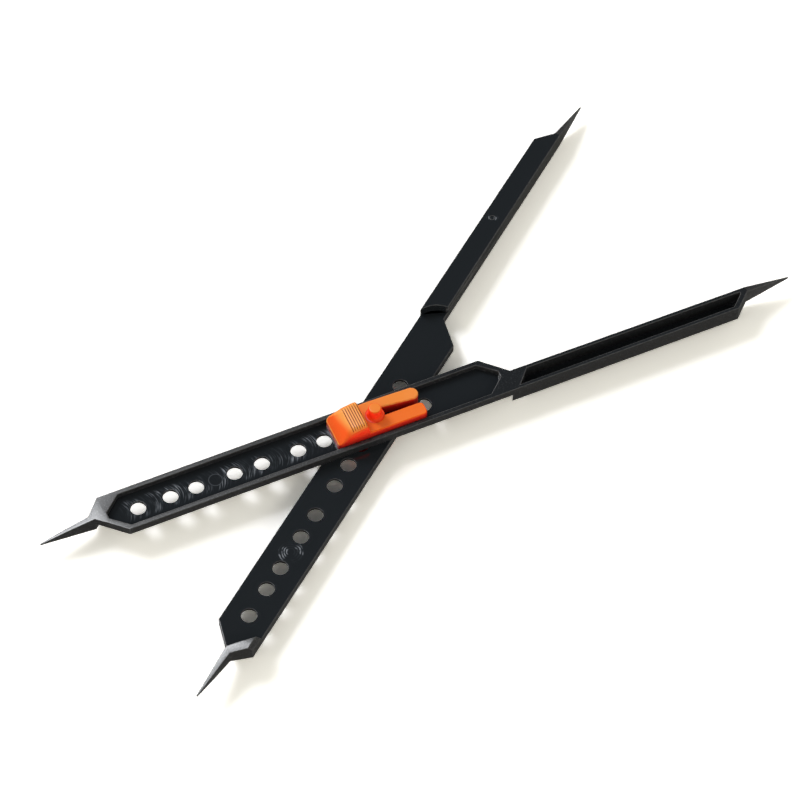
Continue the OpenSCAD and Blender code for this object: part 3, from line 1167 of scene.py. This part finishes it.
def close_rows(work, rows, lines):
    """Underside, and the top cut at each line across the slide and along its middle."""
    work.faces.new(reversed(rows[0]))
    cap = [work.faces.new(rows[-1])]
    cuts = [((line, 0, 0), (1, 0, 0)) for line in lines]
    for spot, way in [*cuts, ((0, 0, 0), (0, 1, 0))]:
        parts = {part for face in cap for part in (*face.verts, *face.edges)}
        made = bmesh.ops.bisect_plane(work, geom=[*parts, *cap], dist=SNAP, plane_co=spot, plane_no=way)
        cap = [part for part in made["geom"] if isinstance(part, bmesh.types.BMFace)]


def lean_sides(work, slides):
    """Leans the sides in towards the hump's top."""
    for vertex in work.verts:
        above = max(0.0, vertex.co.z - slides.lip) / slides.hump_top
        side = ease(slides.bore_radius, slides.bore_radius + LEAN_REACH, abs(vertex.co.y))
        vertex.co.y -= math.copysign(slides.side_lean * above * side, vertex.co.y)


def ribbed_slide(slides):
    """Upper slide lofted from its plan: upright walls, a soft upper edge and a grooved top."""
    smooth = slide_profile(slides)
    path = grooved(slides, smooth)
    lines = [point.x for point in path if -slides.nose < point.x < slides.tail]
    outline = crossed_outline(slide_plan(slides), lines)
    work = bmesh.new()
    rows = soft_rows(work, slides, outline, smooth, path)
    wrap_rows(work, slides, rows)
    close_rows(work, rows, lines)
    lean_sides(work, slides)
    work.normal_update()
    mesh = to_marked_mesh(work, "upper_slide")
    mesh.set_sharp_from_angle(angle=SLIDE_CREASE)
    return shaded(mesh, "upper_slide")


def steepness(face):
    """0 for a face that looks up, 1 for a wall."""
    return 1.0 - max(0.0, face.normal.z)


def looks_up(face):
    """True for a face that looks up; such tops are painted paler."""
    return face.normal.z > 0.9


# Share of the soft edge that has no groove
EDGE_SHARE = 0.6


def slide_shade(slides, face):
    """Steepness of a face of the upper slide, which paints shade; more for a groove, painted darker, and
    less for a top, painted paler.
    """
    middle = (face.center.x - slides.rib_start) / slides.rib_pitch
    place = round(middle)
    half = 0.5 * slides.rib_width / slides.rib_pitch
    on_top = abs(face.center.y) < slides.half_width - EDGE_SHARE * slides.edge_radius
    if on_top and 0 <= place < slides.ribs and abs(middle - place) < half:
        return GROOVE_SHADE
    if looks_up(face) and face.center.x > -slides.hump_end:
        return PALE_FINGER_TOP if face.center.y > 0 else PALE_RAIL_TOP
    return steepness(face)


class DIVIDER_OT_dress_upper_slide(bpy.types.Operator):
    """Dress the ribbed slide in the upper channel."""

    bl_idname = "divider.dress_upper_slide"
    bl_label = "Upper slide"

    def execute(self, context):
        slides = context.scene.divider_slides
        mesh = ribbed_slide(slides)
        mark_surface(mesh, lambda face: slide_shade(slides, face))
        place = arm_frame("upper")
        set_in_place(mesh, place, slide_plastic(slides), "upper", "upper_slide")
        return {"FINISHED"}


PLATE_SLIVER = 0.05 * MM


class DIVIDER_OT_dress_lower_slide(bpy.types.Operator):
    """Dress the retainer plate in the lower channel."""

    bl_idname = "divider.dress_lower_slide"
    bl_label = "Lower slide"

    def execute(self, context):
        slides = context.scene.divider_slides
        place = arm_frame("lower")
        work = clean_copy("lower_slide", place, PLATE_SLIVER, [0.0])
        weigh_edges(work, lambda edge: slides.plate_radius, slides.plate_radius)
        mesh = shaded(rounded(work, "lower_slide", slides.plate_radius), "lower_slide")
        # Steepness as the zone: the plastic paints shade on the plate's walls, darker lower down
        mark_surface(mesh, steepness)
        set_in_place(mesh, place, slide_plastic(slides), "lower", "lower_slide")
        return {"FINISHED"}


def pin_profile(slides, place):
    """Half section of the pin as (radius, height) pairs, from the bottom to the top."""
    low, high = (place.inverted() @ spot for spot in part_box("pivot_pin"))
    brim = slides.shank_height + slides.foot_edge
    neck = slides.shank_height + slides.foot_height
    lead = slides.shank_round
    crown = slides.post_round
    return [
        (0, low.z),
        *arc((slides.shank_radius - lead, low.z + lead), (lead, lead), -90, 0, ARC_STEPS // 2),
        (slides.shank_radius, slides.shank_height),
        (slides.foot_radius, slides.shank_height),
        *arc(
            (slides.foot_radius, neck), (slides.foot_radius - slides.post_radius, neck - brim),
            -90, -180, ARC_STEPS),
        *arc((slides.post_radius - crown, high.z - crown), (crown, crown), 0, 90, ARC_STEPS),
        (0, high.z),
    ]


PIN_CREASE = math.radians(35)


def turned_pin(slides, place):
    """Pin turned from its half section, with a slit across its lower end."""
    work = bmesh.new()
    points = [work.verts.new((radius, 0, height)) for radius, height in pin_profile(slides, place)]
    edges = [work.edges.new(pair) for pair in zip(points, points[1:])]
    bmesh.ops.spin(
        work, geom=points + edges, cent=(0, 0, 0), axis=(0, 0, 1), angle=2 * math.pi,
        steps=slides.turns, use_merge=True)
    bmesh.ops.remove_doubles(work, verts=work.verts, dist=TOUCH)
    bmesh.ops.recalc_face_normals(work, faces=work.faces)
    saw = bmesh.new()
    size = Vector((slides.slit, 4 * slides.shank_radius, 2 * slides.shank_height))
    saw_place = Matrix.Translation((0, 0, -size.z / 2)) @ Matrix.Diagonal((*size, 1))
    bmesh.ops.create_cube(saw, size=1, matrix=saw_place)
    mesh = carved(to_mesh(work, "pivot_pin"), "pivot_pin", [(to_mesh(saw, "saw"), "DIFFERENCE")])
    mesh.set_sharp_from_angle(angle=PIN_CREASE)
    return shaded(mesh, "pivot_pin")


def pin_shade(slides, face):
    """Painted shade of a face of the pin: deeper at the foot, paler on its top face, and by steepness
    elsewhere.
    """
    if face.center.z < slides.shank_height + slides.foot_height:
        return PIN_FOOT_SHADE
    return PALE_POST_TOP if looks_up(face) else steepness(face)


class DIVIDER_OT_turn_pin(bpy.types.Operator):
    """Dress the pin with a rounded post and a hollow curve at its foot."""

    bl_idname = "divider.turn_pin"
    bl_label = "Pivot pin"

    def execute(self, context):
        slides = context.scene.divider_slides
        place = arm_frame("upper")
        mesh = turned_pin(slides, place)
        mark_surface(mesh, lambda face: pin_shade(slides, face))
        set_in_place(mesh, place, slide_plastic(slides), "pin", "pivot_pin")
        return {"FINISHED"}


def floor_paint(stage):
    """Pale floor that keeps the shadow, shows the camera a white ground and is clear from below."""
    material = bpy.data.materials.new("floor_paint")
    material.use_nodes = True
    tree = material.node_tree
    tree.nodes.clear()
    leave = tree.nodes.new("ShaderNodeOutputMaterial")
    matte = tree.nodes.new("ShaderNodeBsdfDiffuse")
    clear = tree.nodes.new("ShaderNodeBsdfTransparent")
    rays = tree.nodes.new("ShaderNodeLightPath").outputs
    paint = Vector(stage.floor_colour)
    shown = blend_colour(tree, rays["Is Glossy Ray"], paint, paint * stage.floor_mirrored)
    shown = blend_colour(tree, rays["Is Camera Ray"], shown, paint * stage.floor_seen)
    tree.links.new(shown, matte.inputs["Color"])
    sides = tree.nodes.new("ShaderNodeMixShader")
    tree.links.new(tree.nodes.new("ShaderNodeNewGeometry").outputs["Backfacing"], sides.inputs["Fac"])
    tree.links.new(matte.outputs[0], sides.inputs[1])
    tree.links.new(clear.outputs[0], sides.inputs[2])
    tree.links.new(sides.outputs[0], leave.inputs["Surface"])
    return material


FLOOR_SPAN = 6.0


def lay_floor(stage):
    """Floor a little below the divider, which leans on its pin and one narrow tip."""
    mesh = bpy.data.meshes.new("floor")
    half = FLOOR_SPAN / 2
    corners = [(-half, -half, 0), (half, -half, 0), (half, half, 0), (-half, half, 0)]
    mesh.from_pydata(corners, [], [(0, 1, 2, 3)])
    mesh.materials.append(floor_paint(stage))
    floor = new_piece(mesh, "floor")
    middle = Matrix.Translation((0, 0, CAD_BOX[0].z - stage.floor_drop))
    turn = Matrix.Rotation(stage.floor_tilt[0], 4, "X") @ Matrix.Rotation(stage.floor_tilt[1], 4, "Y")
    floor.matrix_world = middle @ turn


# Lamps: place and size in metres, share of a white floor's brightness that they give, and colour
KEY_LAMP = {
    "position": (-0.20, 2.6, 2.0), "size": (1.12, 1.12), "share": 0.38, "colour": (0.95, 0.96, 1.0)}
SHEEN_CARD = {
    "position": (-0.07, 0.26, 0.55), "size": (0.13, 0.24), "share": 1.2, "colour": (0.95, 0.97, 1.0)}


def hang_lamp(name, position, size, share, colour, only_gloss=False):
    """Oblong soft lamp aimed at the divider, or a card of light that only glossy faces see."""
    lamp = bpy.data.lights.new(name, "AREA")
    lamp.shape = "RECTANGLE"
    lamp.size, lamp.size_y = size
    lamp.color = colour
    place = Vector(position)
    distance = place.length
    lamp.energy = share * math.pi ** 2 * distance ** 2 / (place.z / distance)
    holder = bpy.data.objects.new(name, lamp)
    holder.location = place
    holder.rotation_euler = place.to_track_quat("Z", "Y").to_euler()
    holder.visible_diffuse = not only_gloss
    bpy.context.scene.collection.objects.link(holder)


# Rise of a look at which the fill has its whole strength
FULL_FILL = 0.3


def light_from_all_round(stage):
    """Even, slightly warm fill with a dark card in it; the camera sees white behind the floor."""
    world = bpy.data.worlds.new("studio")
    world.use_nodes = True
    tree = world.node_tree
    background = tree.nodes["Background"]
    look = tree.nodes.new("ShaderNodeTexCoord").outputs["Generated"]
    to_card = Vector(stage.card_place).normalized()
    toward = vector_node(tree, "DOT_PRODUCT", look, to_card)["Value"]
    inner, outer = (math.cos(angle) for angle in stage.card_span)
    light = blend_colour(tree, ramp(tree, toward, outer, inner), stage.fill, stage.card)
    strength = ramp(tree, axes_of(tree, look)["Z"], 0.0, FULL_FILL, stage.horizon, 1.0)
    tree.links.new(strength, background.inputs["Strength"])
    seen = tree.nodes.new("ShaderNodeLightPath").outputs["Is Camera Ray"]
    tree.links.new(blend_colour(tree, seen, light, (1, 1, 1)), background.inputs["Color"])
    bpy.context.scene.world = world


SENSOR_WIDTH = 36


def set_camera(stage):
    """Camera at the angle and distance of the stage's values."""
    data = bpy.data.cameras.new("camera")
    data.sensor_width = SENSOR_WIDTH
    data.lens = stage.lens
    camera = bpy.data.objects.new("camera", data)
    bpy.context.scene.collection.objects.link(camera)
    level = math.cos(stage.elevation)
    back = Vector((
        math.sin(stage.azimuth) * level,
        -math.cos(stage.azimuth) * level,
        math.sin(stage.elevation)))
    turn = (-back).to_track_quat("-Z", "Y").to_matrix().to_4x4()
    place = Matrix.Translation(Vector(stage.aim) + back * stage.distance)
    camera.matrix_world = place @ turn @ Matrix.Rotation(stage.roll, 4, "Z")
    bpy.context.scene.camera = camera


class DIVIDER_OT_set_stage(bpy.types.Operator):
    """Set the floor, the lights and the camera."""

    bl_idname = "divider.set_stage"
    bl_label = "Stage"

    def execute(self, context):
        stage = context.scene.divider_stage
        context.scene.view_settings.view_transform = "Standard"
        lay_floor(stage)
        light_from_all_round(stage)
        hang_lamp("key_lamp", **KEY_LAMP)
        hang_lamp("sheen_card", **SHEEN_CARD, only_gloss=True)
        set_camera(stage)
        return {"FINISHED"}


class DIVIDER_PT_panel(bpy.types.Panel):
    """Sidebar panel with the divider's pieces."""

    bl_label = "Divider"
    bl_idname = "DIVIDER_PT_panel"
    bl_space_type = "VIEW_3D"
    bl_region_type = "UI"
    bl_category = "Divider"

    def draw(self, context):
        for operator in OPERATORS:
            self.layout.operator(operator.bl_idname)
        for group in GROUPS:
            values = getattr(context.scene, group)
            box = self.layout.box()
            for name in values.__annotations__:
                box.prop(values, name)


GROUPS = {
    "divider_arms": DividerArms,
    "divider_slides": DividerSlides,
    "divider_stage": DividerStage,
}
OPERATORS = (
    DIVIDER_OT_dress_arms,
    DIVIDER_OT_dress_upper_slide,
    DIVIDER_OT_dress_lower_slide,
    DIVIDER_OT_turn_pin,
    DIVIDER_OT_set_stage,
)


def register():
    """Registers the properties, the operators and the panel."""
    for name, group in GROUPS.items():
        bpy.utils.register_class(group)
        setattr(bpy.types.Scene, name, PointerProperty(type=group))
    for made in (*OPERATORS, DIVIDER_PT_panel):
        bpy.utils.register_class(made)


def unregister():
    """Takes them back in the other order."""
    for made in reversed((*OPERATORS, DIVIDER_PT_panel)):
        bpy.utils.unregister_class(made)
    for name, group in reversed(GROUPS.items()):
        delattr(bpy.types.Scene, name)
        bpy.utils.unregister_class(group)


def main():
    """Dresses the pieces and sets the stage."""
    register()
    bpy.ops.divider.dress_arms()
    bpy.ops.divider.dress_upper_slide()
    bpy.ops.divider.dress_lower_slide()
    bpy.ops.divider.turn_pin()
    bpy.ops.divider.set_stage()


if __name__ == "__main__":
    main()
